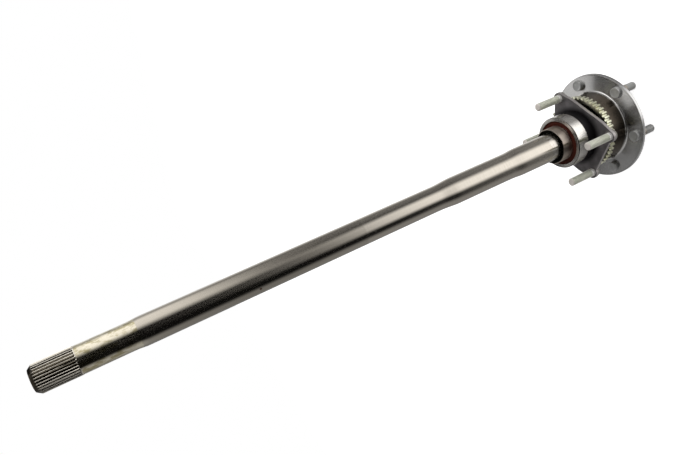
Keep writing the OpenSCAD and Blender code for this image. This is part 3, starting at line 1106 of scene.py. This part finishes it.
def make_floor():
    """Pale floor under the stud ends, lifted to white for the eye"""
    bpy.ops.object.select_all(action="DESELECT")
    bpy.ops.mesh.primitive_plane_add(size=floor_size)
    floor = bpy.context.object
    floor.name = "floor"
    floor.data.transform(Matrix.Translation((0, 0, cad_box[0].z)))
    material = bpy.data.materials.new("pale_floor")
    material.use_nodes = True
    nodes, links = material.node_tree.nodes, material.node_tree.links
    pale = nodes["Principled BSDF"]
    pale.inputs["Base Color"].default_value = (0.9, 0.9, 0.9, 1)
    pale.inputs["Roughness"].default_value = 1.0
    pale.inputs["Specular IOR Level"].default_value = 0.0
    path = nodes.new("ShaderNodeLightPath")
    lift = nodes.new("ShaderNodeMath")
    lift.operation = "MULTIPLY"
    lift.inputs[1].default_value = floor_lift
    links.new(path.outputs["Is Camera Ray"], lift.inputs[0])
    white = nodes.new("ShaderNodeEmission")
    white.inputs["Color"].default_value = (1, 1, 1, 1)
    links.new(lift.outputs[0], white.inputs["Strength"])
    both = nodes.new("ShaderNodeAddShader")
    links.new(pale.outputs[0], both.inputs[0])
    links.new(white.outputs[0], both.inputs[1])
    links.new(both.outputs[0], nodes["Material Output"].inputs["Surface"])
    floor.data.materials.append(material)
    floor.visible_glossy = False


def tent_level(f):
    """Light that the tent gives back, by the angle round it from the camera and by height"""
    turn = f.nodes.new("ShaderNodeMapping")
    turn.inputs["Rotation"].default_value = (0, 0, -camera_azimuth)
    f.put(turn.inputs["Vector"], f.place)
    toward, across, height = f.split(turn.outputs[0])
    side = f.math("DEGREES", f.math("ARCTAN2", across, toward))
    rear, rear_end = (112, 150), (167, 174)

    def tilted(fall):
        """Height above an edge that falls by so many millimetres for each degree"""
        return f.plus(height, f.times(side, fall * MM))

    def panel(start, end, blur, low, high, low_level, high_level):
        """Level of a panel between two angles, changing between two heights"""
        opening = f.span(side, start - blur, start + blur)
        closing = f.span(side, end - blur, end + blur, 1.0, 0.0)
        return f.times(opening, closing, f.zone(height, low, high, low_level, high_level))

    back_gap = f.times(f.span(side, -172, -150, 1.0, 0.0), f.zone(height, 900, 1200, 0.22, 0.29))
    right_cloth = f.minus(f.span(side, -96, -56, right_cloth_level, 0.0), back_gap)
    back_edge = f.times(
        f.zone(tilted(back_fall), 2250, 2310, 1.0, 0.0),
        f.zone(height, 1060, 1120, 1.0, 0.0),
    )
    left_cloth = f.times(
        f.span(side, 20, 110, 0.0, left_cloth_level),
        f.math("MAXIMUM", back_edge, 0.1),
        f.span(side, *rear, 1.0, 1.3),
        f.span(side, *rear_end, 1.0, 0.1),
    )
    table = f.times(
        f.span(side, -44, -8),
        f.span(side, 25, 65, 1.0, 0.0),
        f.zone(tilted(table_fall), -240, 350, table_level, 0.0),
    )
    left_box = f.times(
        f.span(side, 10, 56),
        f.span(side, 88, 135, 1.0, 0.0),
        f.zone(tilted(table_fall), 240, 530, 0.0, left_box_level),
        f.zone(height, 1120, 1200, 1.0, 0.0),
    )
    back_box = f.times(
        f.span(side, *rear, 0.0, back_box_level),
        f.span(side, *rear_end, 1.0, 0.05),
        back_edge,
    )
    top_edge = f.times(
        f.zone(tilted(top_fall), 7400, 7600, 0.0, top_box_level),
        f.span(side, 169, 176, 1.0, 0.0),
    )
    level = f.plus(
        f.times(right_cloth, f.zone(height, 1000, 1600, 1.0, 0.5)),
        left_cloth,
        panel(-70, 90, 25, -700, -100, near_table_level, 0.0),
        table,
        left_box,
        back_box,
        f.math("MAXIMUM", top_edge, panel(92, 165, 6, 2050, 2200, 0.0, top_box_level)),
        panel(-125, -70, 12, 680, 780, 0.0, right_strip_level),
        panel(-125, -45, 15, -1250, -850, right_floor_level, 0.0),
        f.times(f.zone(f.axes()[1], 600, 800, overhead_level, 0.0), f.zone(height, 2000, 2200)),
    )
    return f.math("MAXIMUM", level, dark_level)


def make_tent():
    """Light tent for reflections alone: dim cloth, a bright table, and softboxes left, behind and above"""
    tent = turned("light_tent", [(tent_r, tent_low), (tent_r, tent_high)], segments=96)
    f = Finish("tent_cloth")
    glow = f.nodes.new("ShaderNodeEmission")
    glow.inputs["Color"].default_value = (1, 1, 1, 1)
    f.put(glow.inputs["Strength"], tent_level(f))
    f.links.new(glow.outputs[0], f.nodes["Material Output"].inputs["Surface"])
    f.material.cycles.emission_sampling = "NONE"
    tent.data.materials.append(f.material)
    for flag in ("visible_camera", "visible_diffuse", "visible_shadow", "visible_transmission"):
        setattr(tent, flag, False)


def make_world():
    """Even studio light, white to the eye and in reflections"""
    world = bpy.data.worlds.new("studio")
    bpy.context.scene.world = world
    world.use_nodes = True
    nodes, links = world.node_tree.nodes, world.node_tree.links
    path = nodes.new("ShaderNodeLightPath")
    eye = nodes.new("ShaderNodeMath")
    eye.operation = "MAXIMUM"
    links.new(path.outputs["Is Camera Ray"], eye.inputs[0])
    links.new(path.outputs["Is Glossy Ray"], eye.inputs[1])
    seen = nodes.new("ShaderNodeMath")
    seen.operation = "MAXIMUM"
    links.new(eye.outputs[0], seen.inputs[0])
    links.new(path.outputs["Is Transmission Ray"], seen.inputs[1])
    soft = nodes["Background"]
    soft.inputs["Color"].default_value = (1, 1, 1, 1)
    soft.inputs["Strength"].default_value = soft_level
    white = nodes.new("ShaderNodeBackground")
    white.inputs["Color"].default_value = (1, 1, 1, 1)
    white.inputs["Strength"].default_value = 1.0
    mix = nodes.new("ShaderNodeMixShader")
    links.new(seen.outputs[0], mix.inputs[0])
    links.new(soft.outputs[0], mix.inputs[1])
    links.new(white.outputs[0], mix.inputs[2])
    links.new(mix.outputs[0], nodes["World Output"].inputs["Surface"])


def make_lamp():
    """Soft square lamp"""
    light = bpy.data.lights.new("key_lamp", "AREA")
    light.shape = "SQUARE"
    light.size = lamp_size
    light.energy = lamp_power
    lamp = bpy.data.objects.new("key_lamp", light)
    lamp.location = lamp_place
    lamp.rotation_mode = "QUATERNION"
    lamp.rotation_quaternion = (lamp_aim - lamp_place).to_track_quat("-Z", "Y")
    lamp.visible_glossy = False
    bpy.context.scene.collection.objects.link(lamp)


def make_camera():
    """Camera at the viewing angle of the photograph"""
    data = bpy.data.cameras.new("camera")
    data.lens = camera_lens
    data.sensor_width = 36
    data.clip_start = 0.01
    camera = bpy.data.objects.new("camera", data)
    camera.location = camera_place
    camera.rotation_mode = "QUATERNION"
    upright = (camera_aim - camera_place).to_track_quat("-Z", "Y")
    camera.rotation_quaternion = upright @ Quaternion((0, 0, 1), camera_roll)
    bpy.context.scene.collection.objects.link(camera)
    bpy.context.scene.camera = camera


make_floor()
make_tent()
make_world()
make_lamp()
make_camera()
bpy.context.scene.view_settings.view_transform = "Standard"
